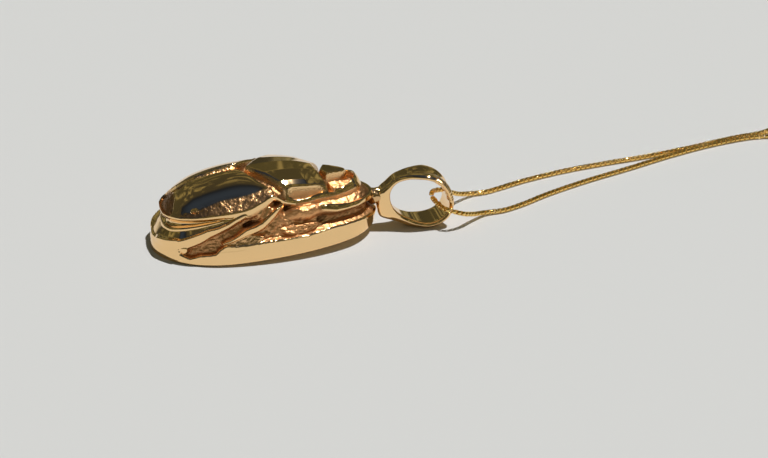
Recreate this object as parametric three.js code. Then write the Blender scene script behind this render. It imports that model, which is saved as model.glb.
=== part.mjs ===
// A cast gold scarab pendant lying on its back plate, with a flared bail and a fine box chain.
// Millimetres. X runs from the beetle's tail to its head, Y across it, Z up from the table.
// The origin lies on the table under the middle of the scarab and its bail.
// Carving is given in shares: "along" from tail 0 to head tip 1, "level" from base 0 to back 1,
// and "across" from the middle line 0 to the widest edge 1.
import * as THREE from 'three';
import { mergeVertices } from 'three/addons/utils/BufferGeometryUtils.js';

// Driving sizes of the scarab.
const bodyLength = 28.8;
const bodyWidth = 17.1;
const bodyHeight = 9.7;
const headLift = 1.5;             // the bail props the head end up by this much
const restFlat = 0.16;            // worn off under the tail, where the pendant rests
const widestAlong = 0.375;        // where the plan is widest
const spineShare = 0.70;          // the crest line's length as a share of the plan's
const draft = 0.12;               // how much the base plate's wall leans in
const draftHeight = 1.8;
const recessDepth = 0.85;         // floors of the carving between the legs
const coveDepth = 0.22;           // the cove under the wings, at its foot and at its head
const coveDeepening = 0.33;
const coveScallop = 0.20;
const troughDepth = 0.80;
const channelDepth = 1.2;
const channelStart = 0.35;
const haunchProud = 0.22;
const haunchFall = 1.0;
const footChamfer = 0.12;

// Driving sizes of the bail, the loop that the chain runs through.
const bailGap = 0.3;
const bailLength = 9.2;
const bailWidth = 4.7;            // at the flared end
const bailNeckWidth = 2.3;        // at the scarab
const bailThickness = 0.75;
const bailValley = 0.3;           // depth of the groove between its two ridges

// Driving sizes of the chain and its clasp.
const chainWidth = 0.6;
const coilTurnDiameter = 6.6;
const coilBandWidth = 2.6;
const coilHeight = 2.8;
const claspDiameter = 5.0;
const claspWire = 0.9;

// How finely the surfaces are cut.
const aroundSteps = 104;
const flankSteps = 19;
const backSteps = 11;
const bailSteps = 44;
const tubeSides = 8;
const nearSteps = 38;
const farSteps = 38;

const gold = { color: 0xd9b06a, roughness: 0.18, metalness: 1.0 };
const chainGold = { color: 0xcaa44c, roughness: 0.25, metalness: 1.0 };

const clamp = (value, low, high) => Math.min(high, Math.max(low, value));
const mix = (a, b, share) => a + (b - a) * share;
const ramp = (from, to, value) => {
  const share = clamp((value - from) / (to - from), 0, 1);
  return share * share * (3 - 2 * share);
};

// A smooth curve through a short list of [place, value] pairs.
function follow(list, place) {
  const last = list.length - 1;
  if (place <= list[0][0]) return list[0][1];
  if (place >= list[last][0]) return list[last][1];
  let i = 0;
  while (place > list[i + 1][0]) i += 1;
  const slope = (k) => {
    const low = list[Math.max(k - 1, 0)];
    const high = list[Math.min(k + 1, last)];
    return (high[1] - low[1]) / (high[0] - low[0]);
  };
  const [x0, y0] = list[i];
  const [x1, y1] = list[i + 1];
  const span = x1 - x0;
  const t = (place - x0) / span;
  const bend = t * t * (3 - 2 * t);
  const pull = span * (slope(i) * t * (1 - t) * (1 - t) - slope(i + 1) * t * t * (1 - t));
  return mix(y0, y1, bend) + pull;
}

// Straight lines through a short list of [place, value] pairs.
function trace(list, place) {
  const last = list.length - 1;
  if (place <= list[0][0]) return list[0][1];
  if (place >= list[last][0]) return list[last][1];
  let i = 0;
  while (place > list[i + 1][0]) i += 1;
  return mix(list[i][1], list[i + 1][1], (place - list[i][0]) / (list[i + 1][0] - list[i][0]));
}

// Long lines of the beetle, each as [along, level] or [along, across]; on the flank the level is
// measured up the surface, and a leg's third share is half its width.
const shoulderLevel = [[0, 0.50], [0.05, 0.53], [0.12, 0.55], [0.25, 0.60], [0.40, 0.64],
  [0.47, 0.71], [0.52, 0.76], [0.565, 0.66], [0.62, 0.60], [0.72, 0.60], [0.80, 0.57], [0.92, 0.55], [1, 0.44]];
const shoulderShare = [[0, 0.50], [0.02, 0.62], [0.05, 0.695], [0.10, 0.755], [0.20, 0.79], [0.42, 0.80],
  [0.52, 0.76], [0.58, 0.69], [0.64, 0.67], [0.72, 0.665], [0.78, 0.60], [0.84, 0.56], [0.92, 0.60], [1, 0.64]];
const wingCrest = [[0.05, 0.62], [0.07, 0.665], [0.085, 0.69], [0.103, 0.72], [0.14, 0.785], [0.185, 0.85],
  [0.24, 0.895], [0.29, 0.925], [0.345, 0.95], [0.40, 0.96], [0.46, 0.95], [0.52, 0.90]];
const collarCrest = [[0.36, 0.90], [0.40, 0.925], [0.44, 0.945], [0.48, 0.96], [0.54, 0.965], [0.60, 0.955],
  [0.66, 0.935], [0.70, 0.91], [0.74, 0.86], [0.80, 0.76]];
const headCrest = [[0.70, 0.66], [0.74, 0.745], [0.78, 0.775], [0.85, 0.745], [0.893, 0.72], [0.92, 0.69],
  [0.95, 0.63]];
const collarFall = [[0, 0], [0.35, 0.010], [0.68, 0.050], [0.84, 0.120]];
const split = [[0.05, 0.40], [0.095, 0.35], [0.103, 0.30], [0.117, 0.17], [0.138, 0.10], [0.185, 0.045],
  [0.22, 0.035], [0.28, 0.045], [0.34, 0.07], [0.40, 0.10]];
const lipHigh = [[0, 0.021], [0.20, 0.023], [0.30, 0.035], [0.36, 0.062], [0.41, 0.103], [0.45, 0.113],
  [0.49, 0.082], [0.53, 0.036], [0.60, 0.026], [0.80, 0.029], [0.92, 0.023], [1, 0.021]];
const bandTop = [[0, 0.19], [0.03, 0.235], [0.07, 0.26], [0.09, 0.275], [0.098, 0.25], [0.104, 0.11],
  [0.14, 0.074], [0.182, 0.119], [0.247, 0.142], [0.262, 0.19], [0.285, 0.235], [0.30, 0.25], [0.35, 0.23],
  [0.48, 0.237], [0.567, 0.228], [0.656, 0.215], [0.749, 0.234], [0.844, 0.213], [0.93, 0.185], [1, 0.16]];
const hindTop = [[0, 0.19], [0.033, 0.235], [0.07, 0.26], [0.109, 0.298], [0.15, 0.347], [0.192, 0.408],
  [0.234, 0.457], [0.276, 0.483], [0.311, 0.525], [0.343, 0.577], [0.365, 0.597], [0.40, 0.64]];
const hindLeg = [[0.05, 0.16, 0.10], [0.10, 0.20, 0.095], [0.121, 0.252, 0.052], [0.187, 0.347, 0.047],
  [0.23, 0.415, 0.036], [0.274, 0.457, 0.023], [0.312, 0.502, 0.020], [0.346, 0.553, 0.020],
  [0.385, 0.60, 0.018]];
const middleLeg = [[0.555, 0.66, 0.018], [0.52, 0.59, 0.024], [0.49, 0.52, 0.028], [0.46, 0.455, 0.030],
  [0.43, 0.42, 0.032], [0.39, 0.392, 0.032], [0.35, 0.34, 0.018], [0.285, 0.28, 0.004]];
const foreLeg = [[0.72, 0.57, 0.012], [0.745, 0.53, 0.036], [0.80, 0.475, 0.040], [0.855, 0.442, 0.028],
  [0.91, 0.42, 0.025], [0.965, 0.40, 0.024], [1, 0.385, 0.020]];
const rimTop = [[0.70, 0.62], [0.745, 0.582], [0.80, 0.523], [0.855, 0.463], [0.915, 0.442], [0.973, 0.424],
  [1, 0.41]];
const edgeSoftness = 0.010;        // the steps between wings, collar and head, as a share of the length
const wingFront = 0.40;            // front edge of the wing cases on the middle line
const wingSweep = 0.145;           // and how much further forward it is at the sides
const collarFront = 0.715;
const collarSweep = 0.07;
const grooveDepth = 0.11;          // depths on the back, as shares of the height
const splitDepth = 0.055;
const neckDepth = 0.10;
const ovalDepth = 0.05;
const bowlDepth = 0.14;
const wallStart = 0.84;            // where the collar's flat top turns down to the shoulder
const lipUndercut = 0.42;
const legSteepness = 2.6;
const haunch = { along: 0.660, level: 0.550, halfLong: 0.090, halfHigh: 0.120 };
const oval = { along: 0.675, share: 0.91, halfLong: 0.088, halfWide: 0.062 };
const bowl = { along: 0.83, share: 0.76, halfLong: 0.075, halfWide: 0.20 };

// The bail's inner outline about a centre, as [turn from its far end over the top, reach], and its wall
// as a share of its thickness at the far end.
const bailCentre = [4.9, 3.75];
const bailReach = [[0, 3.53], [0.056, 3.38], [0.129, 3.22], [0.197, 3.09], [0.271, 3.08], [0.338, 3.42],
  [0.391, 3.85], [0.44, 3.96], [0.481, 3.80], [0.53, 3.50], [0.59, 3.08], [0.663, 2.70], [0.744, 2.74],
  [0.809, 3.05], [0.873, 3.43], [0.926, 3.68], [0.97, 3.63], [1, 3.53]];
const bailWall = [[0, 1], [0.10, 0.96], [0.27, 0.84], [0.38, 0.82], [0.42, 0.95], [0.46, 1.25], [0.49, 1.50],
  [0.53, 1.80], [0.58, 1.65], [0.66, 1.40], [0.73, 1.15], [0.80, 1.0], [1, 1]];

// The plan's edge: two half ellipses, the tail one short and a little square.
const halfWidth = bodyWidth / 2;
const plan = (turn) => {
  const c = Math.cos(turn);
  const front = c > 0;
  const reach = bodyLength * (front ? 1 - widestAlong : widestAlong);
  const square = front ? 1 : 0.92;
  const x = bodyLength * widestAlong + reach * Math.sign(c) * Math.abs(c) ** square;
  return [x, halfWidth * Math.sin(turn)];
};
const crestPoint = (x) => bodyLength * widestAlong + spineShare * (x - bodyLength * widestAlong);

// How far a point of the flank lies below a raised rib's crest; upright turns the rib's face outward.
function ribFall(rib, x, rise, upright) {
  let nearest = Infinity;
  let above = 0;
  for (let i = 0; i + 1 < rib.length; i += 1) {
    const [ax, az, aw] = rib[i];
    const [bx, bz, bw] = rib[i + 1];
    const dx = (bx - ax) * bodyLength;
    const dz = (bz - az) * bodyHeight;
    const px = x - ax * bodyLength;
    const pz = rise - az * bodyHeight;
    const t = clamp((px * dx + pz * dz) / (dx * dx + dz * dz), 0, 1);
    const width = mix(aw, bw, t) * bodyHeight;
    const away = Math.hypot(px - t * dx, pz - t * dz) - width;
    if (away < nearest) {
      nearest = away;
      above = clamp(pz - t * dz, -width, width);
    }
  }
  return upright * above - Math.max(0, nearest) * legSteepness;
}

// Depth of the carving on the flank, by how far up the surface a point is and how far below the
// shoulder: 0 is the full form, negative is cut away.
function flankCarving(x, rise, belowEdge) {
  const along = x / bodyLength;
  const level = rise / bodyHeight;
  const foot = trace(bandTop, along);
  const legTop = trace(hindTop, along);
  const lip = trace(lipHigh, along) * bodyHeight;
  const top = (rise + belowEdge - lip) / bodyHeight;
  const upCove = clamp((level - legTop) / Math.max(top - legTop, 0.01), 0, 1);
  const cove = -coveDepth - coveDeepening * upCove ** 0.8 - coveScallop * Math.sin(Math.PI * upCove);
  const channel = -channelStart - (channelDepth - channelStart) * ramp(foot, foot + 0.08, level);
  const frontFloor = level < trace(rimTop, along) ? channel : -troughDepth;
  let floor = mix(-recessDepth, frontFloor, ramp(0.70, 0.76, along));
  if (along < 0.40 && level > legTop) floor = cove;
  const hx = (along - haunch.along) / haunch.halfLong;
  const hz = (level - haunch.level) / haunch.halfHigh;
  return Math.max(
    floor,
    -Math.max(0, rise - foot * bodyHeight) * legSteepness,
    -Math.max(0, belowEdge - lip) * legSteepness - lipUndercut * Math.min(belowEdge, lip),
    ribFall(hindLeg, x, rise, 0.38),
    ribFall(middleLeg, x, rise, 0.40),
    ribFall(foreLeg, x, rise, 0.25),
    haunchProud - haunchFall * (hx * hx + hz * hz) ** 1.2,
  );
}

// Height of the back over the plan; share is 0 at the crest line and 1 at the shoulder.
function backHeight(x, y, share) {
  const along = x / bodyLength;
  const side = Math.abs(y) / halfWidth;
  const edge = follow(shoulderLevel, along);
  const dome = (crest, full, fall) => edge + Math.max(0, crest - edge) * Math.max(0, 1 - share ** full) ** fall;
  // The front edge of the wing cases sweeps forward from the middle line to the sides.
  const wingEdge = wingFront + wingSweep * Math.min(1, side / 0.62) ** 1.1;
  const wing = dome(follow(wingCrest, along), 2.3, 0.75);
  const parted = trace(split, along);
  const slit = splitDepth * ramp(parted + 0.03, parted, side) * ramp(wingFront + 0.05, wingFront, along);
  const plate = follow(collarCrest, along) - trace(collarFall, share);
  const collar = mix(plate, edge, clamp((share - wallStart) / (1 - wallStart), 0, 1) ** 0.9);
  const collarEnd = collarFront + collarSweep * Math.min(1, side / 0.5);
  const hollow = (spot) => {
    const offAlong = (along - spot.along) / spot.halfLong;
    const offAcross = (share - spot.share) / spot.halfWide;
    return ramp(1.12, 0.6, offAlong ** 2 + offAcross ** 2);
  };
  const head = dome(follow(headCrest, along), 6, 0.9);
  const neck = neckDepth * ramp(0.030, 0.012, Math.abs(along - collarEnd - 0.014));
  const groove = grooveDepth * ramp(0.032, 0.012, Math.abs(along - wingEdge - 0.012)) * ramp(1, 0.9, share);
  const behind = (edgeAlong) => ramp(edgeAlong + edgeSoftness, edgeAlong - edgeSoftness, along);
  const front = mix(head - bowlDepth * hollow(bowl) - neck, collar - ovalDepth * hollow(oval), behind(collarEnd));
  return (mix(front, wing - slit, behind(wingEdge)) - groove) * bodyHeight;
}

// The closed surface of the scarab, first on its own flat base, then tipped up at the head.
function scarabGeometry() {
  const tilt = Math.atan(headLift / bodyLength);
  const rows = flankSteps + backSteps;
  const positions = [];
  const indices = [];
  const place = (x, y, z) => {
    const up = x * Math.sin(tilt) + z * Math.cos(tilt) - restFlat;
    positions.push(x * Math.cos(tilt) - z * Math.sin(tilt), y, Math.max(0, up));
  };
  for (let i = 0; i < aroundSteps; i += 1) {
    const turn = (i / aroundSteps) * 2 * Math.PI;
    const [edgeX, edgeY] = plan(turn);
    const crestX = crestPoint(edgeX);
    const reach = Math.hypot(edgeX - crestX, edgeY);
    const outX = (edgeX - crestX) / reach;
    const outY = edgeY / reach;
    const sideY = i * 2 === aroundSteps || i === 0 ? 0 : 1;
    const shoulderAt = trace(shoulderShare, edgeX / bodyLength);
    const shoulderX = crestX + (edgeX - crestX) * shoulderAt;
    const shoulderZ = follow(shoulderLevel, shoulderX / bodyLength) * bodyHeight;
    const leanPower = mix(1.5, 4, ramp(0.55, 0.8, edgeX / bodyLength));
    const curve = (v) => {
      const lean = Math.max(0, (v - 0.25) / 0.75) ** leanPower;
      const z = v * shoulderZ;
      const drawn = (draft * Math.min(z, draftHeight) / reach) * (1 - lean);
      return [mix(1, shoulderAt, lean) - drawn, z];
    };
    const rises = [0];
    for (let j = 1; j <= flankSteps; j += 1) {
      const [share, z] = curve(j / flankSteps);
      const [shareBelow, zBelow] = curve((j - 1) / flankSteps);
      rises.push(rises[j - 1] + Math.hypot((shareBelow - share) * reach, z - zBelow));
    }
    for (let j = 0; j <= flankSteps; j += 1) {
      const v = j / flankSteps;
      const [share, z] = curve(v);
      const [shareLow, zLow] = curve(Math.max(0, v - 0.04));
      const [shareHigh, zHigh] = curve(Math.min(1, v + 0.04));
      const run = (shareLow - shareHigh) * reach;
      const climb = zHigh - zLow;
      const length = Math.hypot(run, climb);
      const x = crestX + (edgeX - crestX) * share;
      const chamfer = j === 0 ? footChamfer : 0;
      const cut = flankCarving(x, rises[j], rises[flankSteps] - rises[j]) - chamfer;
      const r = share * reach + (cut * climb) / length;
      place(crestX + outX * r, outY * r * sideY, z + (cut * run) / length);
    }
    for (let j = 1; j <= backSteps; j += 1) {
      const inward = j / backSteps;
      const share = shoulderAt * (1 - inward);
      const x = crestX + (edgeX - crestX) * share;
      const y = edgeY * share;
      place(x, j === backSteps ? 0 : y * sideY, backHeight(x, y, 1 - inward));
    }
  }
  const columns = rows + 1;
  for (let i = 0; i < aroundSteps; i += 1) {
    const next = (i + 1) % aroundSteps;
    for (let j = 0; j < rows; j += 1) {
      const a = i * columns + j;
      const b = next * columns + j;
      indices.push(a, b, b + 1, a, b + 1, a + 1);
    }
  }
  const centre = positions.length / 3;
  place(bodyLength * widestAlong, 0, 0);
  for (let i = 0; i < aroundSteps; i += 1) {
    indices.push(centre, ((i + 1) % aroundSteps) * columns, i * columns);
  }
  return closedGeometry(positions, indices);
}

// Joins equal corners and drops faces that have shrunk to a line.
function closedGeometry(positions, indices) {
  const raw = new THREE.BufferGeometry();
  raw.setAttribute('position', new THREE.Float32BufferAttribute(positions, 3));
  raw.setIndex(indices);
  const merged = mergeVertices(raw, 1e-3);
  const kept = [];
  const index = merged.getIndex().array;
  for (let k = 0; k < index.length; k += 3) {
    const [a, b, c] = [index[k], index[k + 1], index[k + 2]];
    if (a !== b && b !== c && a !== c) kept.push(a, b, c);
  }
  merged.setIndex(kept);
  merged.computeVertexNormals();
  return merged;
}

// The bail: a teardrop loop of band whose two edges flare away from the scarab.
function bailGeometry() {
  // The band's outer side as [across, share of the thickness, share of the valley], then its inner side.
  const section = [[-1, 0.45, 0], [-0.82, 0.88, 0], [-0.55, 1, 0], [-0.28, 1, 0.6], [0, 1, 1], [0.28, 1, 0.6],
    [0.55, 1, 0], [0.82, 0.88, 0], [1, 0.45, 0], [0.92, 0, 0], [0.3, 0, 0], [-0.3, 0, 0], [-0.92, 0, 0]];
  const outline = (turn) => {
    const reach = follow(bailReach, turn);
    const angle = turn * 2 * Math.PI;
    return new THREE.Vector2(bailCentre[0] + reach * Math.cos(angle), bailCentre[1] + reach * Math.sin(angle));
  };
  const positions = [];
  const indices = [];
  for (let i = 0; i < bailSteps; i += 1) {
    const turn = i / bailSteps;
    const inner = outline(turn);
    const along = outline((turn + 0.01) % 1).sub(outline((turn + 0.99) % 1));
    const out = new THREE.Vector2(along.y, -along.x).normalize();
    const thick = trace(bailWall, turn) * bailThickness;
    const toFlare = ramp(-1, 0.5, Math.cos(turn * 2 * Math.PI));
    const half = mix(bailNeckWidth, bailWidth, toFlare) / 2;
    const valley = bailValley * ramp(0.25, 0.6, toFlare);
    for (const [across, raised, sunk] of section) {
      const r = thick * raised - valley * sunk;
      positions.push(inner.x + out.x * r, across * half, inner.y + out.y * r);
    }
  }
  const n = section.length;
  for (let i = 0; i < bailSteps; i += 1) {
    const next = (i + 1) % bailSteps;
    for (let k = 0; k < n; k += 1) {
      const m = (k + 1) % n;
      indices.push(i * n + k, next * n + m, next * n + k, i * n + k, i * n + m, next * n + m);
    }
  }
  const loop = closedGeometry(positions, indices);
  loop.computeBoundingBox();
  loop.translate(-loop.boundingBox.min.x, 0, -loop.boundingBox.min.z);
  return loop;
}

// A chain strand as a plain round tube along its route.
function strandGeometry(points, steps) {
  const outline = new THREE.Shape();
  for (let k = 0; k < tubeSides; k += 1) {
    const turn = (k / tubeSides) * 2 * Math.PI;
    const x = Math.cos(turn) * chainWidth / 2;
    const y = Math.sin(turn) * chainWidth / 2;
    if (k === 0) outline.moveTo(x, y);
    else outline.lineTo(x, y);
  }
  const route = new THREE.CatmullRomCurve3(points.map((p) => new THREE.Vector3(...p)), false, 'centripetal');
  const tube = new THREE.ExtrudeGeometry(outline, { steps, extrudePath: route, bevelEnabled: false });
  tube.deleteAttribute('uv');
  tube.deleteAttribute('normal');
  return mergeVertices(tube, 1e-3);
}

// A ring lying flat on the table, round or square in section.
function ringGeometry(middleDiameter, across, high, sides, turns) {
  const profile = [];
  for (let k = 0; k <= sides; k += 1) {
    const turn = -(k % sides) * 2 * Math.PI / sides;
    const x = middleDiameter / 2 + Math.cos(turn) * across / 2;
    profile.push(new THREE.Vector2(x, high / 2 - Math.sin(turn) * high / 2));
  }
  const ring = new THREE.LatheGeometry(profile, turns);
  ring.rotateX(Math.PI / 2);
  ring.deleteAttribute('uv');
  ring.deleteAttribute('normal');
  return mergeVertices(ring, 1e-3);
}

// Routes of the two strands, from inside the bail out over the table.
const tailToBail = bodyLength + bailGap;
const onTable = chainWidth / 2 + 0.03;
const nearRoute = [[35.9, -0.3, 3.3], [36.3, -1.2, 2.9], [36.8, -2.2, 2.7], [37.6, -3.0, 2.6],
  [39.2, -2.6, 1.9], [41.0, -1.0, 1.0], [42.9, 0.4, 0.45], [45.4, 0.9, onTable], [48.5, 2.4, onTable],
  [51.8, 4.5, onTable], [58.3, 7.9, onTable], [64.9, 10.8, onTable], [71.6, 13.9, onTable],
  [78.4, 16.5, onTable], [84.8, 17.9, onTable], [88.4, 17.5, onTable], [92.4, 16.3, onTable]];
const farRoute = [[35.9, 0.6, 3.6], [36.2, 1.4, 3.5], [36.8, 2.4, 3.2], [37.8, 3.1, 2.9], [39.2, 3.9, 2.1],
  [40.7, 5.4, 1.1], [42.6, 6.7, 0.45], [44.6, 7.1, onTable], [47.2, 8.2, onTable], [50.4, 9.7, onTable],
  [56.6, 11.8, onTable], [62.7, 13.2, onTable], [68.9, 14.4, onTable], [75.3, 16.1, onTable],
  [81.8, 18.1, onTable], [86.5, 19.2, onTable], [89.3, 21.2, onTable], [91.6, 23.9, onTable], [94.0, 26.1, onTable]];
const coilCentre = [95.6, 20.4];
const claspCentre = [96.3, 27.8];

function part(name, geometry, finish) {
  const mesh = new THREE.Mesh(geometry, new THREE.MeshStandardMaterial(finish));
  mesh.name = name;
  return mesh;
}

const pendant = new THREE.Group();
pendant.position.x = -(tailToBail + bailLength) / 2;

pendant.add(part('scarab_body', scarabGeometry(), gold));

const bail = part('bail', bailGeometry(), gold);
bail.position.x = tailToBail;
pendant.add(bail);

pendant.add(part('chain_near_strand', strandGeometry(nearRoute, nearSteps), chainGold));
pendant.add(part('chain_far_strand', strandGeometry(farRoute, farSteps), chainGold));

const coil = part('chain_coil', ringGeometry(coilTurnDiameter, coilBandWidth, coilHeight, 8, 28), chainGold);
coil.position.set(...coilCentre, 0);
pendant.add(coil);

const clasp = part('clasp_ring', ringGeometry(claspDiameter - claspWire, claspWire, claspWire, 8, 24), chainGold);
clasp.position.set(...claspCentre, 0);
pendant.add(clasp);

const model = new THREE.Group();
model.add(pendant);

export default model;
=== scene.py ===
"""A cast gold scarab pendant with a flared bail on a fine box chain, lying on a pale surface.

Metres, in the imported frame: +X from the beetle's tail to its head, +Y across it, +Z up.
Carving is worked out in millimetres from the scarab's own tail, and scaled at the end.
"""
import math
import bmesh
import bpy
import numpy as np
from mathutils import Matrix, Vector, noise


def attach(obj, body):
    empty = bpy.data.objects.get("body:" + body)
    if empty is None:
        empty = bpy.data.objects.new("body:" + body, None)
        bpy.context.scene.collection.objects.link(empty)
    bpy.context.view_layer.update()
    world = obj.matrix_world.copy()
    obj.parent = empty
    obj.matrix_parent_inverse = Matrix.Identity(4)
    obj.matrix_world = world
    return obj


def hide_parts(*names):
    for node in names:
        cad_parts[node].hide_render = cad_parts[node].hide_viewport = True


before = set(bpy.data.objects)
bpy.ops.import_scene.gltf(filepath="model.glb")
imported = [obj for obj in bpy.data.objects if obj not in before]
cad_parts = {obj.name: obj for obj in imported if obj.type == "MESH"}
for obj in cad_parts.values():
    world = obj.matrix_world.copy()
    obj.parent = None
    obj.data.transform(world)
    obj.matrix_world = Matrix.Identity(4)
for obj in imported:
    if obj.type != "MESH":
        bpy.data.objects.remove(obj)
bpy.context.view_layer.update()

MM = 0.001

# Sizes of the scarab, in millimetres, the solids' own but for the rounded and tucked-in foot.
BODY_LENGTH = 28.8
BODY_WIDTH = 17.1
BODY_HEIGHT = 9.7
HEAD_LIFT = 1.5
REST_FLAT = 0.16
WIDEST_ALONG = 0.375
SPINE_SHARE = 0.70
RECESS_DEPTH = 0.85
DRAFT = 0.12                      # how much the base plate's wall leans in
DRAFT_HEIGHT = 1.8
EDGE_ROUNDING = 0.12              # of the base plate's lower edge
TAIL_SQUARE = 0.92                # power of the outline behind its widest place; 1 is an ellipse
LEAN_FROM = 0.25                  # share of the flank's height where it starts to lean in
TAIL_LEAN, HEAD_LEAN = 1.5, 4     # powers of that lean
LEAN_CHANGES = (0.55, 0.8)
TIP_FROM = 0.84                   # along the body, where the base plate's foot starts to tuck in
TIP_TUCK = 0.55
TIP_TUCK_HEIGHT = 1.5

# Sizes of the bail. Places round it are in turns from its far end over the top.
BAIL_GAP = 0.3
BAIL_LENGTH = 9.2
BAIL_WIDTH = 4.7
BAIL_NECK_WIDTH = 2.3
BAIL_THICKNESS = 0.75
BAIL_VALLEY = 0.36
VALLEY_GROWS = (0.25, 0.6)        # shares of the flare between which the valley deepens
FLARE_FULL = 0.5                  # cosine of the turn where the bail has its full width
BAIL_SLOPE_STEP = 0.015
STROKES_FROM, STROKES_TO = 0.0, 0.155
STROKES_ACROSS = (-0.97, -0.5)    # shares of the half width that the stamped strokes run over
STROKES_PER_TURN = 72
STROKE_DEPTH = 0.13
STROKE_SLANT = 0.004
STROKE_UNEVEN, STROKE_UNEVEN_RATE = 1.5, 90

# Sizes of the solder between the bail's neck and the head.
SOLDER_HEIGHT = 4.25              # above the table
SOLDER_BACK = 0.35                # how far its middle lies back from the gap's, towards the head
SOLDER_SIZE = (1.35, 1.1, 1.15)
SOLDER_WAIST, SOLDER_WAIST_LONG = 0.10, 0.35
SOLDER_LUMPS, SOLDER_LUMP_RATE = 0.14, 2.1
SOLDER_DULL = 0.25                # how matte and how brown it is

# Sizes of the chain.
CHAIN_WIDTH = 0.6
TABLE_CLEARANCE = 0.03
ON_TABLE = CHAIN_WIDTH / 2 + TABLE_CLEARANCE
LINK_PITCH = 0.37
LINK_PITCHES = 1.5                # how many pitches long a link is
LINK_HALF = LINK_PITCH * LINK_PITCHES / 2
LINK_STRIP = 0.38                 # width of the strip that a link is folded from
LINK_WALL = 0.12
LINK_BEVEL = 0.03
LINK_SQUARE = 0.82                # 0 is a round link, 1 a sharp square one
TWIST_DRIFT, TWIST_LIMIT, TWIST_SPREAD = 0.03, 0.3, 0.08
LOWEST_LINK, LOWEST_CLASP = 0.01, 0.005      # above the table, where twisted links are flattened

# Sizes of the wound-up rest of the chain and its clasp.
COIL_TURN_DIAMETER = 6.6
COIL_CENTRE = (95.6, 20.4)
COIL_LAYERS = 4
TURNS_IN_LAYER = 4
TURN_SPACING = 0.62
STEPS_IN_TURN = 16
CLIMB_TURNS = 0.5                 # turns over which the chain climbs to its next layer
DESCENT_STEPS = 8
DESCENT_FROM, DESCENT_TO = -90, 68
DESCENT_CLEARANCE = 0.8
CLASP_CENTRE = (96.3, 27.8)
CLASP_DIAMETER = 5.0
CLASP_WIRE = 0.9
CLASP_BODY = (78, 395)            # degrees that the clasp's hollow ring runs over
CLASP_BOLT = (33, 80)             # and its bolt
BOLT_THINNER = 0.33
KNOB_AT = 62
KNOB_FROM, KNOB_TO, KNOB_RADIUS = 0.2, 0.62, 0.2
END_RING_RADIUS, END_RING_WIRE, END_RING_TILT = 0.72, 0.14, 0.55
END_RING_OUT = 0.52
NEAR_END = (97.5, 25.1)           # where the wound strand comes back to the clasp

# Routes of the two strands, from inside the bail out over the table, as in the solids.
NEAR_ROUTE = [
    (35.9, -0.3, 3.3), (36.3, -1.2, 2.9), (36.8, -2.2, 2.7), (37.6, -3.0, 2.6), (39.2, -2.6, 1.9),
    (41.0, -1.0, 1.0), (42.9, 0.4, 0.45), (45.4, 0.9, ON_TABLE), (48.5, 2.4, ON_TABLE),
    (51.8, 4.5, ON_TABLE), (58.3, 7.9, ON_TABLE), (64.9, 10.8, ON_TABLE), (71.6, 13.9, ON_TABLE),
    (78.4, 16.5, ON_TABLE), (84.8, 17.9, ON_TABLE), (88.4, 17.5, ON_TABLE), (92.4, 16.3, ON_TABLE)]
FAR_ROUTE = [
    (35.9, 0.6, 3.6), (36.2, 1.4, 3.5), (36.8, 2.4, 3.2), (37.8, 3.1, 2.9), (39.2, 3.9, 2.1),
    (40.7, 5.4, 1.1), (42.6, 6.7, 0.45), (44.6, 7.1, ON_TABLE), (47.2, 8.2, ON_TABLE),
    (50.4, 9.7, ON_TABLE), (56.6, 11.8, ON_TABLE), (62.7, 13.2, ON_TABLE), (68.9, 14.4, ON_TABLE),
    (75.3, 16.1, ON_TABLE), (81.8, 18.1, ON_TABLE), (86.5, 19.2, ON_TABLE), (89.3, 21.2, ON_TABLE),
    (91.6, 23.9, ON_TABLE), (94.0, 26.1, ON_TABLE)]

PENDANT_X = -(BODY_LENGTH + BAIL_GAP + BAIL_LENGTH) / 2   # where the tail is in the frame

# Long lines of the beetle as shares of its length, height and half width, close to the solids' own.
SHOULDER_LEVEL = [
    (0, 0.50), (0.05, 0.53), (0.12, 0.55), (0.25, 0.60), (0.40, 0.64), (0.47, 0.71), (0.52, 0.76),
    (0.565, 0.66), (0.62, 0.60), (0.72, 0.60), (0.80, 0.57), (0.92, 0.55), (1, 0.44)]
SHOULDER_SHARE = [
    (0, 0.50), (0.02, 0.62), (0.05, 0.695), (0.10, 0.755), (0.20, 0.79), (0.42, 0.80), (0.52, 0.76),
    (0.58, 0.69), (0.64, 0.67), (0.72, 0.665), (0.78, 0.60), (0.84, 0.56), (0.92, 0.60), (1, 0.64)]
WING_CREST = [
    (0.05, 0.62), (0.07, 0.665), (0.085, 0.69), (0.103, 0.72), (0.14, 0.785), (0.185, 0.85),
    (0.24, 0.895), (0.29, 0.925), (0.345, 0.95), (0.40, 0.96), (0.46, 0.95), (0.52, 0.90)]
COLLAR_CREST = [
    (0.36, 0.90), (0.40, 0.925), (0.44, 0.945), (0.48, 0.96), (0.54, 0.965), (0.60, 0.955),
    (0.66, 0.925), (0.70, 0.89), (0.74, 0.84), (0.80, 0.74)]
HEAD_CREST = [
    (0.70, 0.66), (0.74, 0.745), (0.78, 0.775), (0.85, 0.745), (0.893, 0.72), (0.92, 0.69),
    (0.95, 0.63)]
SPLIT = [
    (0.05, 0.40), (0.095, 0.35), (0.103, 0.30), (0.117, 0.17), (0.138, 0.10), (0.185, 0.045),
    (0.22, 0.035), (0.28, 0.045), (0.34, 0.07), (0.40, 0.10)]
LIP_HIGH = [
    (0, 0.021), (0.20, 0.023), (0.30, 0.035), (0.36, 0.062), (0.41, 0.103), (0.45, 0.113),
    (0.49, 0.082), (0.53, 0.036), (0.60, 0.026), (0.80, 0.029), (0.92, 0.023), (1, 0.021)]
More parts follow.
